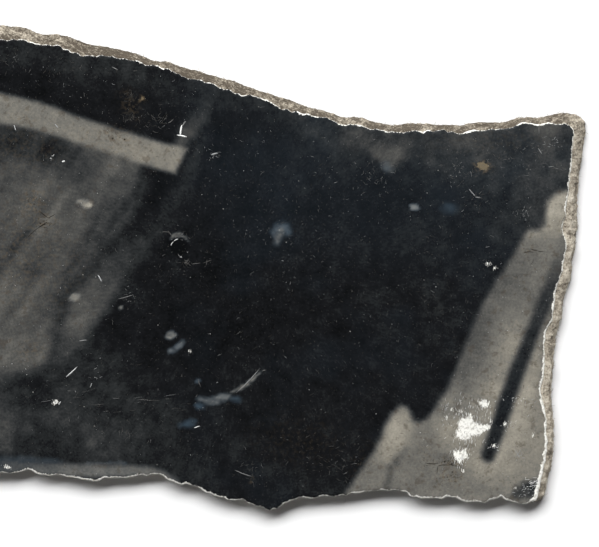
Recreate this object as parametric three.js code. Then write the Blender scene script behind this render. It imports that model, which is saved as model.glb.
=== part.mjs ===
// Torn piece of a mounted black-and-white photographic print, lying face up on its back.
//
// Two pieces make it up: a thick grey pulp board, and a print on white coated paper that is
// pasted flat on the board's front. It was torn on all sides. Along the top, the right and
// the left end the tear slopes outwards, so that the board's fibrous core stands out past
// the print as a fringe. Along the bottom the board is undercut beneath the print.
//
// Millimetres. +X runs to the right across the picture, +Y up it and +Z out of it. The
// origin is on the surface that it lies on, under the middle of its bounding box.
import * as THREE from "three";

const boardThickness = 1.6;
const printThickness = 0.25;
const rimWidth = 0.24; // white paper laid bare all round, where the picture layer broke back
const rimRagged = 0.05; // how far the picture's edge wanders across the rim
const rimDrop = 0.12; // how far the white rim slopes down from the picture
const pointSpacing = 0.8; // between neighbouring points of a torn edge
const slopeReach = 2.4; // half the length of edge that sets which way the edge faces

// The torn edge of the print, clockwise from the upper left corner, as [x, y, fringe] along
// the middle of its white rim. x counts from the left end and y from the lowest tip. The
// fringe is how far the board's core stands out there, negative where it is undercut.
const tornEdge = [
  // top, sagging in one long curve towards the right
  [3.6, 71.2, 1.7],
  [8.6, 71.4, 1.8],
  [13.6, 70.6, 2.1],
  [16.6, 70.4, 2.1],
  [19.0, 69.7, 1.8],
  [22.3, 69.5, 1.8],
  [23.9, 68.9, 1.9],
  [26.5, 68.1, 1.8],
  [29.4, 68.0, 1.5],
  [32.8, 67.4, 1.4],
  [34.6, 67.1, 1.1],
  [36.1, 66.4, 1.1],
  [38.5, 66.1, 1.2],
  [41.2, 64.9, 1.4],
  [44.0, 64.4, 1.2],
  [46.9, 63.1, 1.7],
  [49.6, 62.2, 1.7],
  [53.4, 61.3, 1.4],
  [55.0, 60.4, 1.8],
  [58.5, 59.5, 1.4],
  [62.6, 58.7, 1.1],
  [65.1, 57.7, 1.3],
  [66.6, 57.6, 1.5],
  [69.5, 57.1, 1.3],
  [72.3, 56.8, 0.9],
  [75.1, 56.8, 1.3],
  [79.0, 56.8, 1.1],
  [82.9, 56.5, 1.3],
  [86.2, 57.0, 1.3],
  [89.0, 57.0, 1.3],
  [91.6, 57.7, 1.2],
  [95.4, 57.8, 1.3],
  [98.1, 57.9, 1.9],
  // right, leaning inwards towards the foot
  [99.4, 57.1, 2.5],
  [99.4, 55.0, 1.8],
  [99.3, 52.5, 1.3],
  [98.8, 48.6, 1.2],
  [98.4, 45.0, 1.6],
  [98.2, 43.3, 2.0],
  [97.7, 42.0, 2.3],
  [98.1, 40.0, 1.4],
  [97.6, 37.3, 1.1],
  [97.3, 35.3, 1.2],
  [96.4, 32.0, 1.1],
  [96.3, 29.0, 1.0],
  [95.4, 26.7, 1.2],
  [95.1, 24.0, 1.2],
  [95.2, 21.0, 1.2],
  [94.6, 18.3, 1.3],
  [95.1, 15.0, 1.0],
  [95.5, 12.0, 0.8],
  [95.5, 9.3, 0.8],
  [95.1, 6.8, 0.9],
  [94.5, 3.8, 0.8],
  [94.3, 2.2, 0.9],
  // bottom, with one blunt tip pointing down
  [93.3, 1.2, -0.1],
  [90.5, 1.4, -0.5],
  [88.9, 1.9, -0.5],
  [85.7, 1.3, -0.5],
  [83.4, 1.5, -0.5],
  [81.0, 2.1, -0.5],
  [78.7, 1.8, -0.5],
  [76.0, 2.1, -0.6],
  [73.2, 3.1, -0.6],
  [68.9, 2.8, -0.6],
  [65.2, 2.3, -0.6],
  [61.0, 2.2, -0.6],
  [57.6, 1.6, -0.6],
  [56.0, 0.9, -0.5],
  [54.1, 0.0, -0.4],
  [52.6, 0.6, -0.5],
  [50.8, 1.5, -0.6],
  [46.3, 2.0, -0.7],
  [44.3, 3.0, -0.7],
  [43.0, 3.7, -0.7],
  [40.6, 3.9, -0.7],
  [38.9, 4.8, -0.7],
  [36.4, 5.4, -0.7],
  [34.4, 5.3, -0.7],
  [31.0, 5.0, -0.7],
  [27.0, 4.5, -0.7],
  [24.6, 4.8, -0.7],
  [22.4, 5.5, -0.7],
  [19.8, 5.4, -0.7],
  [18.6, 5.9, -0.7],
  [14.5, 5.8, -0.7],
  [9.0, 5.4, -0.6],
  // left end, in long shallow bites
  [4.9, 5.9, 0.3],
  [3.9, 7.5, 0.9],
  [4.3, 12.0, 1.2],
  [2.9, 18.5, 1.3],
  [3.3, 25.0, 1.0],
  [1.7, 33.0, 1.4],
  [2.6, 40.5, 1.2],
  [1.6, 48.0, 1.1],
  [2.4, 56.0, 1.5],
  [1.8, 63.0, 1.2],
  [2.3, 69.0, 1.3],
];

// How the torn board stands out through its thickness: height as a share of the thickness,
// reach as a share of the fringe, and how ragged that layer is in millimetres.
const boardLayers = [
  { height: 0.0, reach: 0.88, ragged: 0.12 },
  { height: 0.16, reach: 1.0, ragged: 0.16 },
  { height: 0.45, reach: 0.8, ragged: 0.14 },
  { height: 0.78, reach: 0.5, ragged: 0.1 },
  { height: 1.0, reach: 0.22, ragged: 0.03 },
];
const undersideReach = 0.04; // the same share for the underside of the print's paper

// A repeatable number from -1 to 1 for each whole number and layer.
function hash(index, layer) {
  const s = Math.sin(index * 127.1 + layer * 311.7) * 43758.5453;
  return 2 * (s - Math.floor(s)) - 1;
}

// Smooth noise from -1 to 1 along a loop of the given length, with one swell per stretch.
function ragged(distance, length, stretch, layer) {
  const count = Math.round(length / stretch);
  const place = (distance / length) * count;
  const from = Math.floor(place);
  const t = place - from;
  const ease = t * t * (3 - 2 * t);
  return THREE.MathUtils.lerp(hash(from % count, layer), hash((from + 1) % count, layer), ease);
}

// The torn edge as evenly spaced stations: where it is, which way is out, and its fringe.
function edgeStations() {
  const anchors = tornEdge.map(([x, y, fringe]) => new THREE.Vector3(x, y, fringe));
  const curve = new THREE.CatmullRomCurve3(anchors, true, "centripetal");
  curve.arcLengthDivisions = 20 * anchors.length;
  const length = curve.getLength();
  const count = Math.round(length / pointSpacing);
  const points = curve.getSpacedPoints(count).slice(0, count);
  const span = Math.round(slopeReach / pointSpacing);
  return points.map((point, i) => {
    const before = points[(i - span + count) % count];
    const after = points[(i + span) % count];
    const out = new THREE.Vector2(before.y - after.y, after.x - before.x).normalize();
    return { point, out, fringe: point.z, distance: (i / count) * length, length };
  });
}

// One level ring: the stations moved outwards by offset(station), at height z.
function ring(stations, z, offset) {
  return stations.map((station) => {
    const away = offset(station);
    return new THREE.Vector3(
      station.point.x + station.out.x * away,
      station.point.y + station.out.y * away,
      z,
    );
  });
}

// A closed solid through rings of equal count, from the lowest to the highest, with a flat
// face on the first and the last.
function solidThrough(rings) {
  const count = rings[0].length;
  const triangles = [];
  for (let level = 0; level + 1 < rings.length; level++) {
    for (let i = 0; i < count; i++) {
      const next = (i + 1) % count;
      const [a, b] = [level * count + i, level * count + next];
      const [c, d] = [a + count, b + count];
      triangles.push(a, c, b, b, c, d);
    }
  }
  const face = (points) => THREE.ShapeUtils.triangulateShape(points, []);
  const flat = (points) => points.map((p) => new THREE.Vector2(p.x, p.y));
  const top = (rings.length - 1) * count;
  for (const [a, b, c] of face(flat(rings[0]))) triangles.push(a, c, b);
  for (const [a, b, c] of face(flat(rings.at(-1)))) triangles.push(top + a, top + b, top + c);
  const geometry = new THREE.BufferGeometry().setFromPoints(rings.flat());
  geometry.setIndex(triangles);
  geometry.computeVertexNormals();
  return geometry;
}

// Grey pulp board, torn through its thickness into ragged, sloping layers.
function mountBoard(stations) {
  const rings = boardLayers.map((layer, number) =>
    ring(stations, layer.height * boardThickness, (station) => {
      const { distance, length } = station;
      const coarse = ragged(distance, length, 3.1, number);
      const fine = ragged(distance, length, 1.3, number + boardLayers.length);
      return station.fringe * layer.reach + layer.ragged * (0.6 * coarse + 0.4 * fine);
    }),
  );
  const material = new THREE.MeshStandardMaterial({ color: 0x9a9180, roughness: 0.95 });
  return named("mount_board", solidThrough(rings), material);
}

// The print: its paper's underside, the white rim that shows all round, and the picture.
function photographicPrint(stations) {
  const top = boardThickness + printThickness;
  const rings = [
    ring(stations, boardThickness, ({ fringe }) => rimWidth / 2 + fringe * undersideReach),
    ring(stations, top - rimDrop, () => rimWidth / 2),
    ring(stations, top, ({ distance, length }) => {
      return -rimWidth / 2 - rimRagged * ragged(distance, length, 2.2, 20);
    }),
  ];
  const material = new THREE.MeshStandardMaterial({ color: 0x1d1f23, roughness: 0.25 });
  return named("photographic_print", solidThrough(rings), material);
}

function named(name, geometry, material) {
  const mesh = new THREE.Mesh(geometry, material);
  mesh.name = name;
  return mesh;
}

const stations = edgeStations();
const tornPrint = new THREE.Group();
tornPrint.add(mountBoard(stations), photographicPrint(stations));

// Puts the origin under the middle of the whole piece.
const box = new THREE.Box3().setFromObject(tornPrint);
const middle = box.getCenter(new THREE.Vector3());
for (const piece of tornPrint.children) piece.geometry.translate(-middle.x, -middle.y, 0);

export default tornPrint;
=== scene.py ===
import math

import bpy
import numpy as np
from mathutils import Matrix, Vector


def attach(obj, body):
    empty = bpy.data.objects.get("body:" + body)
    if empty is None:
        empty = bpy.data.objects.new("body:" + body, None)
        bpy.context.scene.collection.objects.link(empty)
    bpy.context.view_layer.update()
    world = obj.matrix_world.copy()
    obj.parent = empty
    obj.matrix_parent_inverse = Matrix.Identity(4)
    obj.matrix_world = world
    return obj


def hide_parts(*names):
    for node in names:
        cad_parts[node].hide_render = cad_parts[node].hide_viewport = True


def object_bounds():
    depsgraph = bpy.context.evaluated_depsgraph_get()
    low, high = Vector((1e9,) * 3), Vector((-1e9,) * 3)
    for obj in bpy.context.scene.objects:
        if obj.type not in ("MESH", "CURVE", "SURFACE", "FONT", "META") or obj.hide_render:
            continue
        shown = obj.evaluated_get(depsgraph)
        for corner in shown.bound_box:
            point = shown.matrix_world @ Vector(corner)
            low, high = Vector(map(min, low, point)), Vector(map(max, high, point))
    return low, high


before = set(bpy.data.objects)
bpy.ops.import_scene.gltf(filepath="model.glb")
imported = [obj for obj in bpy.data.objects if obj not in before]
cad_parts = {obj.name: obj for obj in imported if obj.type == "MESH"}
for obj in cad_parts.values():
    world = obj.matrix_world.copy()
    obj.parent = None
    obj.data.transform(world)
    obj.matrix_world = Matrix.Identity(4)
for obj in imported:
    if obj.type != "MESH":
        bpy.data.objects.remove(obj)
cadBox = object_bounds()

mm = 0.001
fullTurn = 2 * math.pi

# The photograph looks straight down on the part. Places in the picture are given in the
# photograph's own pixels, x to the right and y down, and sizes in millimetres.
view = dict(
    width=599,
    height=547,
    pixel=0.15 * mm,
    pastEdge=13.36 * mm,  # how much of the part lies past the photograph's left edge
    margin=3.16 * mm,  # from the photograph's upper edge down to the part's highest point
    lens=200,  # mm, long enough that the view is nearly parallel
    sensor=36,
)
viewLeft = cadBox[0].x + view["pastEdge"]
viewTop = cadBox[1].y + view["margin"]


def fromView(px, py):
    return viewLeft + px * view["pixel"], viewTop - py * view["pixel"]


def toView(x, y):
    return (x - viewLeft) / view["pixel"], (viewTop - y) / view["pixel"]


# Small numpy tools


def ease(value, low, high):  # 0 below low, 1 above high, t*t*(3-2t) between; low may be the larger
    t = np.clip((value - low) / (high - low), 0, 1)
    return t * t * (3 - 2 * t)


def toward(value, goal, amount):  # moves an array part of the way to a goal
    return value + (goal - value) * amount


def loopNoise(share, swells, seed, eased=True):  # round a closed loop: random heights at equal steps
    heights = np.random.default_rng(seed).uniform(-1, 1, swells)
    place = share * swells
    step = np.floor(place).astype(int)
    t = ease(place - step, 0, 1) if eased else place - step
    return toward(heights[step % swells], heights[(step + 1) % swells], t)


def planeNoise(x, y, cell, seed):  # over a plane: random heights on a square lattice, eased both ways
    size = 256
    heights = np.random.default_rng(seed).uniform(-1, 1, (size, size))
    i, j = np.floor(x / cell).astype(int), np.floor(y / cell).astype(int)
    s, t = ease(x / cell - i, 0, 1), ease(y / cell - j, 0, 1)
    i, j = i % size, j % size
    nextI, nextJ = (i + 1) % size, (j + 1) % size
    low = toward(heights[j, i], heights[j, nextI], s)
    return toward(low, toward(heights[nextJ, i], heights[nextJ, nextI], s), t)


def bandNoise(share, height, swells, bands, seed):  # round a loop and up it, eased both ways
    heights = np.random.default_rng(seed).uniform(-1, 1, (bands + 2, swells))
    i, j = np.floor(share * swells).astype(int), np.floor(height * bands).astype(int)
    s, t = ease(share * swells - i, 0, 1), ease(height * bands - j, 0, 1)
    i, nextI = i % swells, (i + 1) % swells
    low = toward(heights[j, i], heights[j, nextI], s)
    return toward(low, toward(heights[j + 1, i], heights[j + 1, nextI], s), t)


def toSegment(x, y, x0, y0, x1, y1):  # the nearest place on a segment, 0 to 1, and how far off it is
    dx, dy = x1 - x0, y1 - y0
    t = np.clip(((x - x0) * dx + (y - y0) * dy) / (dx * dx + dy * dy), 0, 1)
    return t, np.hypot(x - x0 - t * dx, y - y0 - t * dy)


def inPath(x, y, path):  # depth inside a strip along (x, y, half width) points, negative outside
    best = np.full(x.shape, -1e9)
    for (x0, y0, r0), (x1, y1, r1) in zip(path, path[1:]):
        t, away = toSegment(x, y, x0, y0, x1, y1)
        best = np.maximum(best, toward(r0, r1, t) - away)
    return best


def inOutline(x, y, corners):  # depth inside a polygon, negative outside
    away = np.full(x.shape, 1e9)
    inside = np.zeros(x.shape, bool)
    for (x0, y0), (x1, y1) in zip(corners, corners[1:] + corners[:1]):
        away = np.minimum(away, toSegment(x, y, x0, y0, x1, y1)[1])
        if y0 != y1:
            inside ^= ((y0 > y) != (y1 > y)) & (x < x0 + (y - y0) * (x1 - x0) / (y1 - y0))
    return np.where(inside, away, -away)


def inBlob(x, y, blob):  # depth inside an ellipse (x, y, half width, half height, any turn down right)
    bx, by, rx, ry, *degrees = blob
    turn = math.radians(sum(degrees))
    c, s = math.cos(turn), math.sin(turn)
    u, v = (x - bx) * c + (y - by) * s, (y - by) * c - (x - bx) * s
    return (1 - np.hypot(u / rx, v / ry)) * min(rx, ry)


# Meshes from whole arrays


def makePiece(name, points, faces, material, values):
    mesh = bpy.data.meshes.new(name)
    mesh.from_pydata(points.tolist(), [], [face for group in faces for face in group.tolist()])
    mesh.polygons.foreach_set("use_smooth", np.ones(len(mesh.polygons), bool))
    for key, value in values.items():
        attribute = mesh.attributes.new(key, "FLOAT", "POINT")
        attribute.data.foreach_set("value", value.astype(np.float32))
    mesh.materials.append(material)
    piece = bpy.data.objects.new(name, mesh)
    bpy.context.scene.collection.objects.link(piece)
    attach(piece, "root")
    triangles = sum(len(group) * (group.shape[1] - 2) for group in faces)
    print(name, triangles, "triangles")
    return piece


def loopFaces(rows, columns):  # quads between stacked closed loops, each above the one before
    i, j = np.meshgrid(np.arange(rows - 1), np.arange(columns), indexing="ij")
    here, beside = i * columns + j, i * columns + (j + 1) % columns
    return np.stack([here, beside, beside + columns, here + columns], -1).reshape(-1, 4)


def fanFaces(loop, pole):  # triangles from a closed loop to one point
    return np.stack([loop, np.roll(loop, -1), np.full(len(loop), pole)], -1)


def unit(vectors):
    return vectors / np.linalg.norm(vectors, axis=-1, keepdims=True)


def strandMesh(start, heading, up, length, width, bend, flat, steps, sides):
    # Tapered threads as closed tubes: centre(t) = start + heading*length*t + side*bend*length*t^2,
    # with side = up x heading and a section that is width across and flat*width high.
    heading = unit(heading)
    up = unit(up - heading * np.sum(up * heading, -1, keepdims=True))
    side = np.cross(up, heading)
    t = np.linspace(0, 1, steps)[None, :, None]
    reach = length[:, None, None]
    centre = start[:, None] + heading[:, None] * reach * t
    centre = centre + side[:, None] * bend[:, None, None] * reach * t * t
    radius = width[:, None, None] / 2 * (1 - 0.8 * np.abs(2 * t - 1) ** 3)
    turn = np.arange(sides)[:, None] * fullTurn / sides
    section = side[:, None, None] * np.cos(turn) + up[:, None, None] * np.sin(turn) * flat
    points = centre[:, :, None] + section * radius[:, :, None]
    strand, step, k = np.meshgrid(*map(np.arange, (len(start), steps - 1, sides)), indexing="ij")
    first = (strand * steps + step) * sides
    a, b = first + k, first + (k + 1) % sides
    foot = np.arange(len(start))[:, None] * steps * sides
    faces = [
        np.stack([a, b, b + sides, a + sides], -1).reshape(-1, 4),
        foot + np.arange(sides)[::-1],
        foot + np.arange(sides) + (steps - 1) * sides,
    ]
    return points.reshape(-1, 3), faces


def grainMesh(centre, size, rng):  # closed six-cornered grains of the given half sizes, turned at random
    corners = np.array([[1, 0, 0], [0, 1, 0], [-1, 0, 0], [0, -1, 0], [0, 0, 1], [0, 0, -1]])
    sides = np.array([[0, 1, 4], [1, 2, 4], [2, 3, 4], [3, 0, 4], [1, 0, 5], [2, 1, 5], [3, 2, 5], [0, 3, 5]])
    turn = rng.uniform(0, fullTurn, len(centre))[:, None]
    loose = corners * size[:, None] * rng.uniform(0.6, 1.2, (len(centre), 6, 1))
    x = loose[..., 0] * np.cos(turn) - loose[..., 1] * np.sin(turn)
    y = loose[..., 0] * np.sin(turn) + loose[..., 1] * np.cos(turn)
    points = centre[:, None] + np.stack([x, y, loose[..., 2]], -1)
    faces = sides[None] + (np.arange(len(centre)) * 6)[:, None, None]
    return points.reshape(-1, 3), [faces.reshape(-1, 3)]


# The torn outline, from the CAD model


def cadPoints(node):
    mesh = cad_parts[node].data
    points = np.empty(len(mesh.vertices) * 3, np.float32)
    mesh.vertices.foreach_get("co", points)
    return points.reshape(-1, 3).astype(float)


def cadHeights(node):  # the levels at which a node has a ring of corners, from the lowest up
    return np.unique(np.round(cadPoints(node)[:, 2] / mm, 2)) * mm


def cadRadius(node, height, angle):  # how far from the origin a node's ring is, at these angles
    points = cadPoints(node)
    level = points[np.abs(points[:, 2] - height) < 0.02 * mm]
    known = np.arctan2(level[:, 1], level[:, 0])
    return np.interp(angle, known, np.hypot(level[:, 0], level[:, 1]), period=fullTurn)


def cadLoop(node, height, count):  # a ring as points at equal steps along it, turning to the left
    angle = np.linspace(-math.pi, math.pi, 20001)
    radius = cadRadius(node, height, angle)
    x, y = radius * np.cos(angle), radius * np.sin(angle)
    along = np.concatenate([[0], np.cumsum(np.hypot(np.diff(x), np.diff(y)))])
    place = np.arange(count) / count * along[-1]
    return np.interp(place, along, x), np.interp(place, along, y)


def outward(x, y, reach):  # unit vectors out of a loop, from the points reach steps either side
    dx, dy = np.roll(x, -reach) - np.roll(x, reach), np.roll(y, -reach) - np.roll(y, reach)
    return dy / np.hypot(dx, dy), -dx / np.hypot(dx, dy)


# How far the tear on the right stands out past the CAD model's: place down the picture, mm
rightBulge = ((225, 0), (245, 0.4), (270, 0.4), (300, 0.3), (330, 0))


def rightPush(py, outX):  # that distance in metres, where the outline faces right
    return np.interp(py, *zip(*rightBulge)) * mm * ease(outX, 0.3, 0.8)


# Colours and nodes


def linear(code):  # sRGB hex to linear RGBA
    parts = [int(code[i:i + 2], 16) / 255 for i in (0, 2, 4)]
    return [c / 12.92 if c <= 0.04045 else ((c + 0.055) / 1.055) ** 2.4 for c in parts] + [1]


def newMaterial(name):
    material = bpy.data.materials.new(name)
    material.use_nodes = True
    material.node_tree.nodes.clear()
    return material


def add(tree, kind, inputs, stops=(), **settings):
    # A node with its settings, values, links and colour stops. A node that is linked in stands for its
    # first output.
    node = tree.nodes.new("ShaderNode" + kind)
    for key, value in settings.items():
        setattr(node, key, value)
    for key, value in inputs.items():
        if isinstance(value, bpy.types.Node):
            value = value.outputs[0]
        if isinstance(value, bpy.types.NodeSocket):
            tree.links.new(value, node.inputs[key])
        else:
            node.inputs[key].default_value = value
    for number, (place, code) in enumerate(stops):
        if number > 1:
            node.color_ramp.elements.new(place)
        node.color_ramp.elements[number].position = place
        node.color_ramp.elements[number].color = linear(code)
    return node


def every(size):  # a texture's scale for a pattern of this size
    return 1 / size


# Camera, light and floor

studio = dict(
    lamps=(  # a long tube lights the part, and the gloss mirrors a weak softbox in its place
        dict(name="tube", size=(3.2, 1.0), power=102, elevation=41, unseenBy="visible_glossy"),
        dict(name="softbox", size=(0.9, 0.7), power=1.6, elevation=36, unseenBy="visible_diffuse"),
    ),
    lampAway=2.0,
    lampDirection=(-0.28, 0.96),  # over the ground, from the part
    zenith=0.015,  # the room overhead is dark, so that the glossy blacks stay black
    horizon=0.42,
    floorReach=2.5,
    floorGap=0.1 * mm,
)


def makeCamera():
    camera = bpy.data.cameras.new("camera")
    camera.lens = view["lens"]
    camera.sensor_width = view["sensor"]
    camera.clip_start = 0.05
    camera.clip_end = 20
    holder = bpy.data.objects.new("camera", camera)
    x, y = fromView(view["width"] / 2, view["height"] / 2)
    away = view["width"] * view["pixel"] * view["lens"] / view["sensor"]
    holder.location = (x, y, cadBox[1].z + away)
    bpy.context.scene.collection.objects.link(holder)
    bpy.context.scene.camera = holder


def makeLight(name, size, power, elevation, unseenBy):
    lamp = bpy.data.lights.new(name, "AREA")
    lamp.shape = "RECTANGLE"
    lamp.size, lamp.size_y = size
    lamp.energy = power
    holder = bpy.data.objects.new(name, lamp)
    rise = math.radians(elevation)
    east, north = unit(np.array(studio["lampDirection"])) * math.cos(rise)
    holder.location = np.array([east, north, math.sin(rise)]) * studio["lampAway"]
    holder.rotation_euler = holder.location.to_track_quat("Z", "Y").to_euler()
    setattr(holder, unseenBy, False)
    bpy.context.scene.collection.objects.link(holder)


def makeWorld():  # grey that goes from dark overhead to pale at the horizon, by the ray's rise
    world = bpy.data.worlds.new("room")
    world.use_nodes = True
    tree = world.node_tree
    tree.nodes.clear()
    ray = add(tree, "TexCoord", {}).outputs["Generated"]
    split = add(tree, "SeparateXYZ", {"Vector": ray})
    rise = add(tree, "Math", {0: split.outputs["Z"]}, operation="ABSOLUTE")
    low = add(tree, "MapRange", {
        "Value": rise, "From Max": 0.75,
        "To Min": studio["horizon"], "To Max": studio["zenith"],
    }, interpolation_type="SMOOTHSTEP")
    grey = add(tree, "CombineColor", {key: low for key in ("Red", "Green", "Blue")})
    light = add(tree, "Background", {"Color": grey})
    add(tree, "OutputWorld", {"Surface": light})
    bpy.context.scene.world = world


def makeFloor():
    reach, z = studio["floorReach"], -studio["floorGap"]
    corners = [(-reach, -reach, z), (reach, -reach, z), (reach, reach, z), (-reach, reach, z)]
    mesh = bpy.data.meshes.new("floor")
    mesh.from_pydata(corners, [], [(0, 1, 2, 3)])
    paper = newMaterial("seamlessPaper")
    shade = add(paper.node_tree, "BsdfPrincipled", {"Base Color": linear("f3f3f3"), "Roughness": 0.95})
    add(paper.node_tree, "OutputMaterial", {"Surface": shade})
    mesh.materials.append(paper)
    floor = bpy.data.objects.new("floor", mesh)
    bpy.context.scene.collection.objects.link(floor)


bpy.context.scene.view_settings.view_transform = "Standard"
makeCamera()
for lamp in studio["lamps"]:
    makeLight(**lamp)
makeWorld()
makeFloor()
print("camera, light and floor are ready")


# Torn pulp board: grey chipboard torn by hand, matt, fibrous and speckled with dark pulp

board = dict(
    columns=2400,
    rowsPerLayer=5,
    lump=0.11 * mm,  # how far lumps of pulp stand out
    crumb=0.09 * mm,
    lumpSize=0.55 * mm,
    crumbSize=0.24 * mm,
    topPaintedShade=((0, -0.1), (50, -0.4), (107, -0.9), (170, -0.8), (254, -0.4), (400, -0.4), (440, -0.55),
              (560, -0.4)),  # painted shade on the top tear, which faces the lamp: place across the picture, how much paler (below 0, darker)
    sidePaintedLight=0.5,  # painted light: the right-hand tear, which faces away from the lamp, is made paler
    # How much thicker the right-hand fringe is: place down the picture, mm
    sideSwell=((125, 0), (145, 0.15), (160, 0.4), (185, 0.45), (210, 0.5), (235, 0.3), (255, 0.4), (280, 0.6),
               (330, 0.65), (370, 0.4), (395, 0.5), (430, 0.5), (470, 0.5), (490, 0.35), (510, 0)),
    pale="b9b0a0",
    middle="8d8578",
    dark="534c43",
    cream="e9e2d4",
)


def boardMaterial():
    # Waste-paper pulp, torn by hand: matt and fibrous, tan-grey with dark and cream specks.
    # Colour runs from dark to pale with noise of 0.3 mm and 1.8 mm, with painted shading: darker where lumps
    # and crumbs sink in, darker on the top tear and paler on the right-hand tear.
    material = newMaterial("tornPulpBoard")
    tree = material.node_tree
    place = add(tree, "TexCoord", {}).outputs["Object"]
    paintedShading = add(tree, "Attribute", {}, attribute_name="paintedShading").outputs["Fac"]
    speckle = add(tree, "TexNoise", {
        "Vector": place, "Scale": every(0.3 * mm), "Detail": 4, "Roughness": 0.75,
    })
    patch = add(tree, "TexNoise", {"Vector": place, "Scale": every(1.8 * mm), "Detail": 3})
    both = add(tree, "Math", {0: speckle, 1: 2.2, 2: patch}, operation="MULTIPLY_ADD")
    tone = add(tree, "Math", {0: paintedShading, 1: 0.5, 2: both}, operation="MULTIPLY_ADD")
    share = add(tree, "Math", {0: tone, 1: 0.4, 2: -0.14}, operation="MULTIPLY_ADD")
    colour = add(tree, "ValToRGB", {"Fac": share}, stops=[
        (0.38, board["dark"]), (0.52, board["middle"]), (0.64, board["pale"]), (0.88, board["cream"]),
    ])
    bump = add(tree, "Bump", {"Height": speckle, "Distance": 0.12 * mm, "Strength": 0.8})
    shade = add(tree, "BsdfPrincipled", {
        "Base Color": colour, "Normal": bump,
        "Roughness": 0.95, "IOR": 1.45, "Specular IOR Level": 0.2,
    })
    add(tree, "OutputMaterial", {"Surface": shade})
    return material


def boardSurface():
    # Loops at heights between the CAD model's five rings: each point is the ring point of its
    # height, moved outwards by lump and crumb noise that fades at the flat back and the top.
    columns = board["columns"]
    levels = cadHeights("mount_board")
    x, y = cadLoop("mount_board", levels[1], columns)
    angle = np.arctan2(y, x)
    radii = np.array([cadRadius("mount_board", level, angle) for level in levels])
    steps = np.linspace(0, len(levels) - 1, (len(levels) - 1) * board["rowsPerLayer"] + 1)
    share = np.arange(columns) / columns
    length = np.sum(np.hypot(x - np.roll(x, 1), y - np.roll(y, 1)))
    outX, outY = outward(x, y, 6)
    px, py = toView(x, y)
    right = ease(outX, 0.3, 0.8)
    # painted shade on the top tear and painted light on the right-hand tear
    tint = np.interp(px, *zip(*board["topPaintedShade"])) * ease(outY, 0.2, 0.7) + board["sidePaintedLight"] * right
    swell = np.interp(py, *zip(*board["sideSwell"])) * mm * right
    loops, paintedShadings = [], []
    for step in steps:
        low = min(int(step), len(levels) - 2)
        radius = toward(radii[low], radii[low + 1], step - low)
        height = toward(levels[low], levels[low + 1], step - low)
        rise = np.full(columns, height / levels[-1])
        lumps = bandNoise(share, rise, round(length / board["lumpSize"]), 4, 31)
        crumbs = bandNoise(share, rise, round(length / board["crumbSize"]), 9, 32)
        shelf = bandNoise(share, rise, round(length / (6 * board["lumpSize"])), 7, 33)
        fade = min(1, 4 * height / levels[-1], 5 * (1 - height / levels[-1]))
        away = fade * (board["lump"] * (lumps + 0.8 * shelf) + board["crumb"] * crumbs + swell)
        away = away + rightPush(py, outX)
        rough = 0.05 * mm * bandNoise(share, rise, round(length / board["crumbSize"]), 9, 34)
        z = np.clip(height + fade * rough, 0, levels[-1])
        x, y = radius * np.cos(angle), radius * np.sin(angle)
        loops.append(np.stack([x + outX * away, y + outY * away, z], -1))
        # painted shading: darker where the lumps and crumbs sink in, plus the painted shade and light of each
        # side
        paintedShadings.append(lumps * 0.5 + crumbs * 0.3 + tint)
    return np.array(loops), np.array(paintedShadings)


def closeLoops(loops):  # the faces and points of a closed solid through loops, with flat ends
    rows, columns, _ = loops.shape
    poles = np.array([[0, 0, loops[0, 0, 2]], [0, 0, loops[-1, 0, 2]]])
    lowest, highest = np.arange(columns), np.arange(columns) + (rows - 1) * columns
    faces = [
        loopFaces(rows, columns),
        fanFaces(lowest[::-1], rows * columns),
        fanFaces(highest, rows * columns + 1),
    ]
    return np.vstack([loops.reshape(-1, 3), poles]), faces


def makeBoard():
    loops, paintedShadings = boardSurface()
    points, faces = closeLoops(loops)
    paintedShading = np.concatenate([paintedShadings.ravel(), [0, 0]])
    piece = makePiece("mount_board_torn", points, faces, boardMaterial(), {"paintedShading": paintedShading})
    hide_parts("mount_board")
    return loops


boardLoops = makeBoard()


# Loose pulp fibres on the torn slope, drawn about twice as coarse as the real 20 to 40 microns

fibres = dict(
    count=7000,
    length=(0.25 * mm, 0.8 * mm),
    width=(0.035 * mm, 0.07 * mm),
    flat=0.8,  # a fibre's height as a share of its width
    steps=5,
    sides=3,
    seed=11,
)


def fibreMaterial():
    # Paper fibres pulled out by the tear, which blur its outline. Colour runs from brown-grey to
    # cream with each fibre's own shade; matt.
    material = newMaterial("tornPulpFibre")
    tree = material.node_tree
    shade = add(tree, "Attribute", {}, attribute_name="shade").outputs["Fac"]
    colour = add(tree, "ValToRGB", {"Fac": shade}, stops=[
        (0.0, "453f37"), (0.45, "857d6f"), (0.85, "b3aa99"), (1.0, "dcd5c6"),
    ])
    body = add(tree, "BsdfPrincipled", {
        "Base Color": colour, "Roughness": 0.9, "Specular IOR Level": 0.2,
    })
    add(tree, "OutputMaterial", {"Surface": body})
    return material


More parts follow.
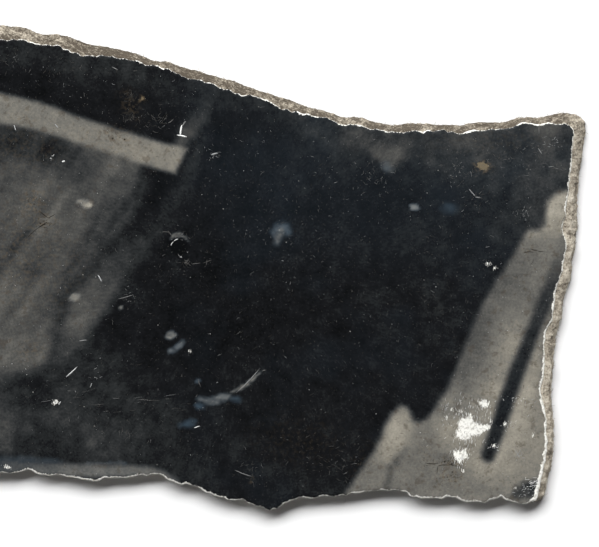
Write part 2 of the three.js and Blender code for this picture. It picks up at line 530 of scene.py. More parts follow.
def makeFibres():
    # Roots are random points of the board's slope; each fibre leaves outwards, sideways or down.
    rng = np.random.default_rng(fibres["seed"])
    count = fibres["count"]
    rows, columns, _ = boardLoops.shape
    row, column = rng.integers(4, rows - 1, count), rng.integers(0, columns, count)
    root = boardLoops[row, column]
    x, y = boardLoops[rows // 2, :, 0], boardLoops[rows // 2, :, 1]
    outX, outY = outward(x, y, 8)
    out = np.stack([outX[column], outY[column], np.zeros(count)], -1)
    along = np.stack([-out[:, 1], out[:, 0], np.zeros(count)], -1)
    heading = out * rng.uniform(-0.3, 0.25, (count, 1)) + along * rng.uniform(-1.6, 1.6, (count, 1))
    heading[:, 2] += rng.uniform(-0.5, 0.25, count)
    length = rng.uniform(*fibres["length"], count)
    width = rng.uniform(*fibres["width"], count)
    bend = rng.uniform(-0.4, 0.4, count)
    up = out + np.array([0, 0, 1.2])
    steps, sides = fibres["steps"], fibres["sides"]
    points, faces = strandMesh(root, heading, up, length, width, bend, fibres["flat"], steps, sides)
    points[:, 2] = np.clip(points[:, 2], 0.01 * mm, cadBox[1].z - 0.02 * mm)
    shade = np.repeat(rng.beta(2.2, 1.8, count), steps * sides)
    makePiece("board_fibres", points, faces, fibreMaterial(), {"shade": shade})


makeFibres()


# The print: a gelatin silver print on white coated paper

printSheet = dict(
    columns=336,
    rows=236,
    edgeRows=(0.12 * mm, 0.26 * mm, 0.45 * mm, 0.75 * mm),  # closer rows beside the torn edge
    corners=((-60, 474), (537, 499), (577, 124), (-64, 37)),  # lower left, then turning to the left
    rimWidth=0.24 * mm,
    tear=0.3 * mm,  # how far the torn paper wanders from the CAD model's line
    # The share of the tear, how many teeth go round, the seed, and whether they are rounded
    teeth=((0.35, 240, 41, True), (0.7, 410, 42, False), (0.35, 850, 43, False)),
)

# The picture on it is out of focus: soft pale bars on black. Tones run from 0, black, to 1.
# Outlines and paths are in the photograph's pixels; a path's third number is its half width.
picture = dict(
    ground=0.052,
    glow=(  # soft lighter areas: blob, how much lighter
        ((570, 165, 120, 75, 10), 0.095),
        ((20, 430, 190, 60), 0.135),
        ((440, 250, 150, 170), 0.045),
        ((385, 152, 24, 12), 0.06),
        ((300, 485, 220, 30), 0.035),
        ((400, 150, 150, 20, 5), 0.05),
        ((110, 90, 60, 30, 20), 0.03),
        ((95, 360, 45, 30), 0.05),
    ),
    patch=[(372, 149), (383, 147), (398, 149), (403, 157), (396, 163), (390, 171), (383, 163), (375, 157)],
    patchTone=0.31,
    topEdge=((-100, 36, 0), (0, 40, 0), (150, 66, 0), (280, 104, 0), (340, 122, 0), (600, 118, 0)),
    topGlow=0.075,
    field=dict(
        outline=[(-100, 100), (0, 120), (80, 140), (136, 158), (141, 185), (139, 210), (130, 238), (114, 262),
                 (99, 282), (82, 305), (68, 330), (61, 350), (50, 362), (34, 370), (0, 374), (-100, 382)],
        tone=0.313,
        slopes=((-0.02, 260, 180), (0.05, 320, 350)),  # gain, from and to how far down the picture
        blobs=(((14, 258, 34, 26), -0.07, -14, 16), ((34, 150, 42, 11, 14), -0.05, -5, 9),
               ((118, 187, 32, 20), -0.04, -12, 14)),  # blob, gain, from and to what depth inside it
    ),
    streakLean=(0.82, 0.57),  # one step across the field's streaks, right and down
    bandFoot=((-100, 96), (0, 124), (40, 132), (80, 145), (120, 158), (160, 171)),
    darkStreak=[(194, 150, 7), (166, 188, 8), (151, 209, 8), (131, 230, 7), (106, 256, 7), (66, 300, 6),
                (57, 345, 5), (48, 372, 4)],
    darkTones=((150, 0.05), (190, 0.015), (215, 0.06), (230, 0.1), (255, 0.13), (300, 0.17), (350, 0.16),
               (370, 0.15)),
    lightStreak=[(207, 130, 5), (184, 188, 8), (153, 232, 10), (125, 258, 12), (96, 297, 15), (78, 326, 11),
                 (65, 356, 5)],
    lightTones=((130, 0.12), (160, 0.15), (190, 0.13), (230, 0.115), (255, 0.2), (280, 0.235), (325, 0.33),
                (350, 0.25), (370, 0.17)),
    bandHaze=[(181, 148, 5), (189, 131, 8), (203, 111, 7), (211, 98, 4)],
    hazeTones=((98, 0.13), (112, 0.17), (130, 0.3), (146, 0.34)),
    band=[(-100, 64), (0, 92), (40, 101), (80, 116), (120, 129), (160, 141), (189, 148), (176, 175),
          (160, 171), (120, 158), (80, 145), (40, 132), (0, 124), (-100, 96)],
    bandTone=0.46,
    rightBand=dict(
        outline=[(620, 180), (565, 191), (555, 194), (548, 202), (546, 213), (545, 224), (539, 229),
                 (528, 231), (521, 241), (514, 253), (505, 267), (485, 299), (466, 342), (449, 385),
                 (441, 399), (434, 410), (427, 418), (420, 422), (414, 420), (411, 414), (407, 407),
                 (402, 405), (397, 408), (391, 415), (384, 427), (380, 440), (372, 453), (349, 487),
                 (335, 510), (620, 560)],
        tone=0.38,
        slopes=((0.24, 262, 205), (0.03, 300, 260), (0.045, 360, 400)),
        blobs=(((510, 338, 20, 18), 0.03, -8, 14), ((395, 436, 13, 28, 25), 0.16, -10, 12),
               ((454, 432, 18, 15), 0.13, -10, 10)),
    ),
    lobeCurve=[(406, 450, 1), (398, 459, 3), (390, 469, 3), (387, 492, 3)],
    stick=[(567, 243, 8), (554, 279, 7.5), (536, 324, 6.5), (519, 367, 7), (508, 396, 7.5), (499, 424, 7),
           (488, 455, 6.5)],
    stickTones=((245, 0.38), (262, 0.31), (280, 0.23), (300, 0.18), (350, 0.14), (400, 0.11)),
    # painted shade: the picture darkens along the torn right edge
    rightShade=[(577, 262, 4), (564, 300, 4), (554, 350, 4), (547, 395, 3)],
    # painted sheen: a lighter strip where the lower left edge bends down, and its tones across the picture
    curl=[(-100, 466, 7), (0, 467, 7), (60, 470, 6), (110, 471, 5.5), (145, 471, 4.5), (163, 475, 3.5),
          (176, 481, 1.5)],
    curlSheenTones=((-100, 0.24), (0, 0.25), (40, 0.3), (70, 0.38), (140, 0.41), (165, 0.36), (180, 0.25)),
)


def areaTone(px, py, area):  # an area's own tone, lighter or darker down the picture and in blobs
    tone = area["tone"]
    for gain, low, high in area["slopes"]:
        tone = tone + gain * ease(py, low, high)
    for blob, gain, low, high in area["blobs"]:
        tone = tone + gain * ease(inBlob(px, py, blob), low, high)
    return tone


def pictureTone(px, py):
    # Each shape pulls the tone towards its own by an eased share of the depth inside its soft edge.
    stepX, stepY = picture["streakLean"]
    across, along = px * stepX + py * stepY, py * stepX - px * stepY
    haze = planeNoise(across, along / 7, 11, 7) + 0.5 * planeNoise(across, along / 5, 5, 8)
    cloud = planeNoise(px, py, 34, 5) + 0.7 * planeNoise(px, py, 13, 6) + 0.4 * planeNoise(px, py, 6, 9)
    tone = np.full(px.shape, picture["ground"])
    for blob, gain in picture["glow"]:
        tone = tone + gain * ease(inBlob(px, py, blob), -0.7 * blob[3], blob[3])
    tone = tone + picture["topGlow"] * ease(inPath(px, py, picture["topEdge"]), -38, -4)
    tone = tone + 0.3 * cloud * tone
    tone = toward(tone, picture["patchTone"], ease(inOutline(px, py, picture["patch"]), -7, 5))
    glare = np.interp(py, *zip(*picture["hazeTones"]))
    tone = toward(tone, glare, 0.8 * ease(inPath(px, py, picture["bandHaze"]), -9, 5))
    dark = inPath(px, py, picture["darkStreak"])
    below = py - np.interp(px, *zip(*picture["bandFoot"]))
    field = areaTone(px, py, picture["field"]) + 0.045 * haze + 0.016 * cloud
    field = field - 0.1 * ease(dark, -38, 0) * ease(py, 340, 215)
    field = field - 0.13 * ease(below, 55, 5) * ease(px, 100, 68)
    tone = toward(tone, field, ease(inOutline(px, py, picture["field"]["outline"]), -14, 12))
    tone = toward(tone, np.interp(py, *zip(*picture["darkTones"])), ease(dark, -9, 6))
    light = np.interp(py, *zip(*picture["lightTones"])) * (1 + 0.06 * haze)
    tone = toward(tone, light, ease(inPath(px, py, picture["lightStreak"]), -11, 9))
    band = picture["bandTone"] + 0.05 * ease(px, 130, 180) + 0.015 * haze + 0.015 * cloud
    depth = inOutline(px, py, picture["band"])
    tone = toward(tone, band, ease(depth, -3.5, 4) * ease(depth, -14, 8))
    stick = inPath(px, py, picture["stick"])
    inRight = inOutline(px, py, picture["rightBand"]["outline"])
    right = areaTone(px, py, picture["rightBand"]) + 0.02 * cloud
    right = right + 0.07 * ease(px, 470, 545) * ease(py, 330, 400)
    right = right + 0.11 * ease(stick, -34, -6) * ease(py, 290, 345)
    right = right - 0.05 * ease(inRight, 30, 5) * ease(py, 400, 380)
    right = right - 0.1 * ease(inPath(px, py, picture["lobeCurve"]), -5, 3)
    # painted shade along the torn right edge
    right = right - 0.06 * ease(inPath(px, py, picture["rightShade"]), -14, 2)
    tone = toward(tone, right, ease(inRight, -5, 5))
    tone = toward(tone, np.interp(py, *zip(*picture["stickTones"])), ease(stick, -5, 4.5))
    # painted sheen: lighter grey along the bent lower left edge
    curl = np.interp(px, *zip(*picture["curlSheenTones"]))
    return toward(tone, curl + 0.02 * cloud, ease(inPath(px, py, picture["curl"]), -4, 3))


def sheetGrid():
    # A patch between the four torn sides: P(u,v) = (1-v)*bottom(u) + v*top(u) + (1-u)*left(v)
    # + u*right(v) - the bilinear patch of the corners, with closer steps beside the sides.
    count = 6000
    x, y = cadLoop("photographic_print", cadHeights("photographic_print")[1], count)
    share = np.arange(count) / count
    outX, outY = outward(x, y, 20)
    away = np.zeros(count)
    for gain, swells, seed, eased in printSheet["teeth"]:
        away = away + printSheet["tear"] * gain * loopNoise(share, swells, seed, eased)
    away = away * (1 - 0.5 * ease(outX, 0.3, 0.8)) + rightPush(toView(x, y)[1], outX)
    loop = np.stack([x + outX * away, y + outY * away], -1)
    starts = []
    for corner in printSheet["corners"]:
        starts.append(int(np.argmin(np.hypot(*(loop - fromView(*corner)).T))))
    sides = []
    for here, after in zip(starts, starts[1:] + starts[:1]):
        sides.append(loop[(here + np.arange((after - here) % count + 1)) % count])

    def along(side, flip):  # a side at the grid's steps, which are closer at its ends
        part = np.concatenate([[0], np.cumsum(np.hypot(*np.diff(side, axis=0).T))])
        edge = np.concatenate([[0], printSheet["edgeRows"]])
        steps = (printSheet["rows"] if flip else printSheet["columns"]) - 2 * len(edge)
        inner = np.linspace(edge[-1], part[-1] - edge[-1], steps + 2)[1:-1]
        place = np.concatenate([edge, inner, part[-1] - edge[::-1]])
        points = [np.interp(place, part, side[:, axis]) for axis in (0, 1)]
        return np.stack(points, -1), place / part[-1]

    bottom, u = along(sides[0], False)
    right, v = along(sides[1], True)
    top, _ = along(sides[2][::-1], False)
    left, _ = along(sides[3][::-1], True)
    u, v = u[None, :, None], v[:, None, None]
    flat = (1 - v) * ((1 - u) * bottom[0] + u * bottom[-1]) + v * ((1 - u) * top[0] + u * top[-1])
    return (1 - v) * bottom + v * top + (1 - u) * left[:, None] + u * right[:, None] - flat


sheet = sheetGrid()
print("print grid", sheet.shape)


def borderOf(rows, columns):  # the grid's border as one loop, turning to the left
    number = np.arange(rows * columns).reshape(rows, columns)
    return np.concatenate([number[0, :-1], number[:-1, -1], number[-1, :0:-1], number[:0:-1, 0]])


def edgeDistance(points, border):  # from each point to the torn edge, exact within 2 mm of it
    far = 2 * mm
    distance = np.full(len(points), far)
    loop = points[np.append(border, border[0])]
    for start in range(0, len(border), 8):
        some = loop[start:start + 9]
        low, high = some.min(0) - far, some.max(0) + far
        near = np.flatnonzero(np.all((points > low) & (points < high), -1))
        for a, b in zip(some, some[1:]):
            distance[near] = np.minimum(distance[near], toSegment(*points[near].T, *a, *b)[1])
    return distance


# Damage to the surface, in the photograph's pixels
damage = dict(
    rimWidth=0.11,  # how wide the white paper shows round the edge, in millimetres
    rimTop=((20, 42), (64, 72), (138, 166), (208, 217), (233, 277), (298, 322), (338, 362), (379, 391),
            (419, 426), (466, 476), (484, 574)),  # where white paper shows along the top
    rimRight=((180, 0), (300, 0.06), (385, 0.14), (412, 0.34), (430, 0.16), (450, 0.36), (472, 0.2),
              (500, 0.42)),  # how much wider it is down the right, in millimetres
    rimLost=((478, 517), (566, 576)),  # where no white shows, at the upper right
    scraped=(  # patches scraped down to the white paper: outline
        [(471, 413), (474, 421), (478, 424), (486, 425), (491, 426), (489, 430), (483, 432), (477, 437),
         (473, 435), (468, 440), (461, 440), (456, 437), (455, 433), (458, 427), (457, 423), (461, 418),
         (466, 417)],
        [(454, 449), (461, 451), (467, 448), (468, 458), (463, 460), (461, 464), (457, 462), (453, 456)],
        [(478, 400), (482, 401), (485, 399), (489, 402), (489, 407), (484, 408), (480, 405)],
    ),
    chips=(  # the same, smaller: blob
        (463, 471, 1.6, 1.4), (452, 409, 1.4, 1.8), (461, 411, 1.4, 1.8), (447, 418, 1, 2),
        (491, 421, 1.4, 1.2), (505, 424, 1.6, 1.4), (533, 435, 1.2, 1.6), (7, 467, 3, 1.5, 20),
        (190, 351, 1, 1), (494, 446, 2, 1.3), (537, 488, 1.6, 3), (515, 488, 1, 0.9), (55.5, 402, 2.6, 2.6),
        (488.3, 263.6, 2.4, 2), (495, 268.6, 1.9, 1.5),
    ),
    silverAndSheen=(  # bluish, chalky or mirrored spots: blob, tone, bluish, soft edge
        ((84, 203, 9, 3.4, 16), 0.62, 0.2, 1.4), ((89, 205, 4, 2, 12), 0.7, 0.1, 1.5),
        ((74, 297, 5.5, 3.5), 0.49, 0.2, 1.4), ((121, 307, 2.4, 2), 0.62, 0.1, 1),
        ((171, 335, 5.5, 4.4), 0.5, 0.4, 1.5), ((415, 206.5, 4, 3), 0.6, 0.8, 1.3),
        ((387, 167, 5, 4, 30), 0.33, 0.5, 4), ((450, 208, 7, 5), 0.13, 0.5, 5),
        ((188, 424, 7, 3.5, -5), 0.1, 0.8, 3), ((200, 406, 4, 3), 0.15, 0.8, 3),
        ((236, 399, 4.5, 3), 0.13, 0.6, 3), ((197, 381, 2.5, 2), 0.26, 0.7, 2),
        ((2, 432, 9, 22), 0.27, 0, 6),
    ),
    # Extra blue in the blacks and then in the upper right, in the form that areaTone reads
    blueBlacks=dict(tone=0, slopes=((0.03, 300, 180),), blobs=(((380, 190, 200, 90, 5), 0.04, -30, 60),)),
    blueCorner=dict(tone=0, slopes=(), blobs=(((525, 155, 80, 34), 0.03, -24, 24),)),
    smears=(  # the same along a strip: path, tone, bluish, soft edge
        # the pale crescent on the crater's upper rim is a painted highlight
        ([(170, 239, 0.4), (174, 235, 1.4), (180, 234.5, 1.8), (185, 237, 1.4), (189, 242, 0.3)],
         0.48, 0.1, 1.8),
        ([(169, 352, 1.2), (175, 349, 2.6), (182, 343, 2.4)], 0.38, 0.6, 2.5),
        ([(198, 398, 1.2), (207, 402, 3.2), (216, 400, 4.2), (224, 397, 3), (229, 396, 2)], 0.42, 0.5, 2.5),
        ([(231, 392, 1), (240, 389, 2), (247, 384, 1.6), (256, 376, 1), (264, 369, 0.4)], 0.5, 0.15, 1.5),
        ([(-20, 459, 3), (30, 460, 3), (60, 462, 2)], 0.2, 0.3, 3),
        ([(88, 463, 1), (125, 463, 1)], 0.3, 0.4, 2),
        ([(274, 233, 2), (278, 227, 3), (284, 227, 4), (288, 232, 2.5)], 0.3, 0.8, 4.5),
        ([(281, 231, 3), (278, 237, 3.5), (276, 243, 2.2)], 0.46, 0.5, 4),
    ),
    holes=(  # dark spots: blob, tone, soft edge
        ((180, 247, 9, 8.5), -0.02, 2), ((528, 489, 12, 8, -25), 0.13, 5), ((519, 494, 9, 5, -20), 0.24, 5),
    ),
    brown=(  # foxing: blob, how brown
        ((483, 166, 9, 6, 20), 2.2), ((142, 99, 3.2, 3.2), 1.9), ((252, 480, 4, 3), 1),
        ((130, 105, 8, 14, -20), 0.5), ((33, 203, 13, 18), 1.1), ((44, 222, 16, 9), 0.9),
        ((30, 350, 16, 12), 0.6), ((530, 251, 9, 5), 0.9), ((450, 463, 16, 6), 1.1),
        ((450, 478, 18, 12), 0.9), ((428, 455, 12, 22), 0.7), ((515, 277, 4, 3), 0.8),
        ((20, 150, 40, 30), 0.3), ((500, 140, 70, 14), 0.2), ((300, 440, 50, 26), 0.12),
        ((395, 465, 40, 24), 0.3), ((20, 260, 60, 60), 0.45), ((110, 145, 60, 12, 18), 0.4),
        ((118, 138, 24, 9, 18), 0.9), ((24, 119, 14, 6, 14), 0.7),
    ),
)


def sheetValues(points, border):
    # tone, silvering with painted sheen, chip, brown and bare for every point: chip and bare are depths in
    # millimetres, so that the material can break their edges with noise finer than the mesh.
    px, py = toView(points[:, 0], points[:, 1])
    tone = pictureTone(px, py)
    silverAndSheen = 0.05 * ease(planeNoise(px, py, 40, 51) + 0.6 * planeNoise(px, py, 15, 52), -0.4, 1.4)
    silverAndSheen = silverAndSheen + areaTone(px, py, damage["blueBlacks"])
    silverAndSheen = silverAndSheen * ease(tone, 0.25, 0.12) * ease(px, 120, 260) + areaTone(px, py, damage["blueCorner"])
    # painted sheen: bluish grey along the bent lower left edge
    silverAndSheen = silverAndSheen + 0.16 * ease(inPath(px, py, picture["curl"]), -3, 3)
    rough = planeNoise(px, py, 5, 56) + 0.6 * planeNoise(px, py, 2.5, 57)
    for blob, goal, soft in damage["holes"]:
        tone = toward(tone, goal, ease(inBlob(px, py, blob) + 1.2 * rough, -soft, soft))
    spots = [(inBlob(px, py, blob), *rest) for blob, *rest in damage["silverAndSheen"]]
    spots += [(inPath(px, py, path), *rest) for path, *rest in damage["smears"]]
    patchy = np.clip(0.85 + 0.4 * planeNoise(px - py, 2 * py, 5, 59), 0, 1)
    for depth, goal, blue, soft in spots:
        share = ease(depth + 1.1 * rough, -soft, soft) * patchy
        tone, silverAndSheen = toward(tone, goal, share), toward(silverAndSheen, blue, share)
    chip = np.full(len(points), -9.0)
    for outline in damage["scraped"]:
        chip = np.maximum(chip, inOutline(px, py, outline))
    for blob in damage["chips"]:
        chip = np.maximum(chip, inBlob(px, py, blob))
    brown = np.zeros(len(points))
    for blob, gain in damage["brown"]:
        brown = np.maximum(brown, gain * ease(inBlob(px, py, blob), -0.6 * blob[3], blob[3]))
    share = (np.arctan2(points[:, 1], points[:, 0]) / fullTurn) % 1
    width = damage["rimWidth"] + 0.1 * loopNoise(share, 190, 54) + 0.08 * loopNoise(share, 520, 55)
    width = width + (0.07 * ease(px, 260, 180) + 0.06 * ease(px, 390, 420)) * ease(py, 440, 460)
    onRight = ease(px, 520, 540) * ease(py, 122, 134)
    wider = np.interp(py, *zip(*damage["rimRight"]))
    width = width + onRight * (wider + 0.02 + (0.04 + 0.5 * wider) * loopNoise(share, 420, 58, False))
    onTop = inPath(px, py, picture["topEdge"]) > -30
    shows = np.zeros(len(points))
    for low, high in damage["rimTop"]:
        shows = np.maximum(shows, ease(px, low - 3, low + 2) * ease(px, high + 3, high - 2))
    for low, high in damage["rimLost"]:
        shows = shows * (1 - ease(px, low - 3, low + 2) * ease(px, high + 3, high - 2) * ease(py, 140, 130))
    topWidth = toward(0.01, width + 0.02 - 0.05 * ease(px, 260, 160), shows)
    width = np.where(onTop & (onRight < 0.5), topWidth, width)
    bare = edgeDistance(points[:, :2], border) / mm - width
    return dict(tone=tone, silverAndSheen=silverAndSheen, chip=chip * view["pixel"] / mm, brown=brown, bare=bare)


# The picture layer's finish, with sizes in millimetres
gelatin = dict(
    patterns=dict(  # noise: size, detail, then any stretch
        mottle=(0.38, 5), cloud=(1.5, 4), haze=(4, 3), foxing=(0.6, 4), stain=(1.1, 4), fleck=(0.22, 3),
        rot=(0.4, 4), torn=(0.3, 4), fibrous=(0.35, 4), streaks=(0.2, 3, 2.2, 0.4, 1),
    ),
    dots=dict(  # round specks: spacing, radius, share of them that show
        pepper=(0.6, 0.2, 0.6), dust=(0.55, 0.07, 0.5), chalk=(1.9, 0.1, 0.5), grit=(0.3, 0.06, 0.4),
    ),
    sums=dict(  # a start, then what is added and how much of it
        grey=(-0.245, ("tone", 1), ("mottle", 0.2), ("cloud", 0.17), ("haze", 0.12)),
        tan=(0, ("brown", 1), ("mottle", 1.6)),
        rim=(0.3, ("bare", 1), ("torn", -0.6)),
        scrape=(0.8, ("chip", 1), ("streaks", -1.7)),
        relief=(0, ("dust", 0.35), ("mottle", 0.25)),
    ),
    greys=(
        (0.0, "0b0c0d"), (0.09, "161719"), (0.13, "1f2122"), (0.18, "2a2c2d"), (0.24, "3a3b3b"),
        (0.31, "4b4b49"), (0.38, "5e5d59"), (0.45, "6e6c66"), (0.53, "827e74"), (0.62, "9b968a"),
        (0.75, "bbb8ae"), (0.95, "efeee8"),
    ),
    layers=(  # what lies over the grey: colour, strength, then what places it and the ends of its step
        ("6b5d49", 0.5, ("foxing", 0.46, 0.66), ("brown",)),
        ("43392e", 0.4, ("stain", 0.55, 0.66), ("tone", 0.22, 0.35)),
        ("2c2823", 0.7, ("fleck", 0.64, 0.73), ("tone", 0.2, 0.35)),
        ("3a3226", 0.7, ("rot", 0.55, 0.66), ("brown", 0.25, 0.9)),
        ("2a251f", 1.44, ("pepper",), ("brown", 0.3, 1)),
        ("746853", 0.85, ("tan", 2, 2.4)),
        ("40515f", 0.75, ("silverAndSheen",)),
        ("918c83", 0.35, ("dust",)),
        ("c2c0ba", 0.6, ("chalk",)),
        ("6b6863", 0.3, ("grit",)),
    ),
    papers=(  # white paper laid bare: which sum, the ends of its step, its darkest and palest colour
        ("rim", 0.03, -0.03, "b5b1a6", "f1f0ea"),
        ("scrape", -0.03, 0.05, "b9b6ae", "ebeae4"),
    ),
    roughness=(0.12, 0.6),  # of the gelatin, and of bare paper
)


def printMaterial():
    # Black-and-white picture layer, glossy gelatin. Tone plus fine mottle picks the grey. Each layer
    # goes over it by its strength times eased steps of what places it, and bare paper over them all.
    material = newMaterial("gelatinSilverPrintGlossy")
    tree = material.node_tree
    place = add(tree, "TexCoord", {}).outputs["Object"]
    eased = dict(interpolation_type="SMOOTHSTEP")
    made = {}
    for name in ("tone", "silverAndSheen", "chip", "brown", "bare"):
        made[name] = add(tree, "Attribute", {}, attribute_name=name).outputs["Fac"]
    for name, (size, detail, *stretch) in gelatin["patterns"].items():
        spread = add(tree, "Mapping", {"Vector": place, "Scale": stretch or (1, 1, 1)})
        made[name] = add(tree, "TexNoise", {
            "Vector": spread, "Scale": every(size * mm), "Detail": detail, "Roughness": 0.6,
        })
    for name, (cell, radius, share) in gelatin["dots"].items():
        dots = add(tree, "TexVoronoi", {"Vector": place, "Scale": every(cell * mm)})
        pick = add(tree, "SeparateColor", {"Color": dots.outputs["Color"]})
        ends = {"From Min": radius / cell, "From Max": 0.4 * radius / cell}
        near = add(tree, "MapRange", {"Value": dots, **ends}, **eased)
        kept = add(tree, "MapRange", {"Value": pick, "From Min": 1 - share}, **eased)
        made[name] = add(tree, "Math", {0: near, 1: kept}, operation="MULTIPLY")
    for name, (total, *terms) in gelatin["sums"].items():
        for term, gain in terms:
            total = add(tree, "Math", {0: made[term], 1: gain, 2: total}, operation="MULTIPLY_ADD")
        made[name] = total
    colour = add(tree, "ValToRGB", {"Fac": made["grey"]}, stops=gelatin["greys"])
    for code, share, *factors in gelatin["layers"]:
        for name, *ends in factors:
            part = made[name]
            if ends:
                low, high = ends
                part = add(tree, "MapRange", {"Value": part, "From Min": low, "From Max": high}, **eased)
            share = add(tree, "Math", {0: share, 1: part}, operation="MULTIPLY")
        colour = add(tree, "Mix", {0: share, 6: colour, 7: linear(code)}, data_type="RGBA").outputs[2]
    pulp = add(tree, "MapRange", {"Value": made["fibrous"], "From Min": 0.34, "From Max": 0.54}, **eased)
    white = 0.0
    for name, low, high, dark, pale in gelatin["papers"]:
        bare = add(tree, "MapRange", {"Value": made[name], "From Min": low, "From Max": high}, **eased)
        paper = add(tree, "Mix", {0: pulp, 6: linear(dark), 7: linear(pale)}, data_type="RGBA").outputs[2]
        colour = add(tree, "Mix", {0: bare, 6: colour, 7: paper}, data_type="RGBA").outputs[2]
        white = add(tree, "Math", {0: bare, 1: white}, operation="MAXIMUM")
    relief = add(tree, "Math", {0: white, 1: -0.6, 2: made["relief"]}, operation="MULTIPLY_ADD")
    bump = add(tree, "Bump", {"Height": relief, "Distance": 0.02 * mm, "Strength": 0.6})
    dull = add(tree, "Math", {0: made["mottle"], 1: 0.1, 2: white}, operation="MULTIPLY_ADD")
    low, high = gelatin["roughness"]
    gloss = add(tree, "MapRange", {"Value": dull, "To Min": low, "To Max": high})
    shade = add(tree, "BsdfPrincipled", {
        "Base Color": colour, "Roughness": gloss, "Normal": bump,
        "IOR": 1.53, "Specular IOR Level": 0.4,
    })
    add(tree, "OutputMaterial", {"Surface": shade})
    return material


def makePrint():
    # The grid is the face; its border steps down over the white rim to a foot and a flat underside.
    rows, columns, _ = sheet.shape
    flat = sheet.reshape(-1, 2)
    border = borderOf(rows, columns)
    values = sheetValues(flat, border)
    levels = cadHeights("photographic_print")
    fall = levels[2] - levels[1]
    away = edgeDistance(flat, border)
    z = levels[2] - fall * ease(away, printSheet["rimWidth"], 0)
    z = z + 0.006 * mm * planeNoise(flat[:, 0], flat[:, 1], 6 * mm, 61)
    px, py = toView(flat[:, 0], flat[:, 1])
    z = z - 0.1 * mm * ease(inPath(px, py, picture["curl"]), -4, 14)
    foot = flat[border] * (1 + 0.0006)
    face = np.column_stack([flat, z])
    low = np.column_stack([foot, np.full(len(border), levels[0])])
    points = np.vstack([face, low, [[0, 0, levels[0]]]])
    i, j = np.meshgrid(np.arange(rows - 1), np.arange(columns - 1), indexing="ij")
    here = (i * columns + j).ravel()
    under = len(flat) + np.arange(len(border))
    faces = [
        np.stack([here, here + 1, here + 1 + columns, here + columns], -1),
        np.stack([under, np.roll(under, -1), np.roll(border, -1), border], -1),
        fanFaces(under[::-1], len(points) - 1),
    ]
    for key, value in values.items():
        values[key] = np.concatenate([value, value[border], [value[border[0]]]])
    values["bare"][len(flat):] = -1
    piece = makePiece("print_face", points, faces, printMaterial(), values)
    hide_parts("photographic_print")


makePrint()


# Dust, hairs and scratches that lie on the print

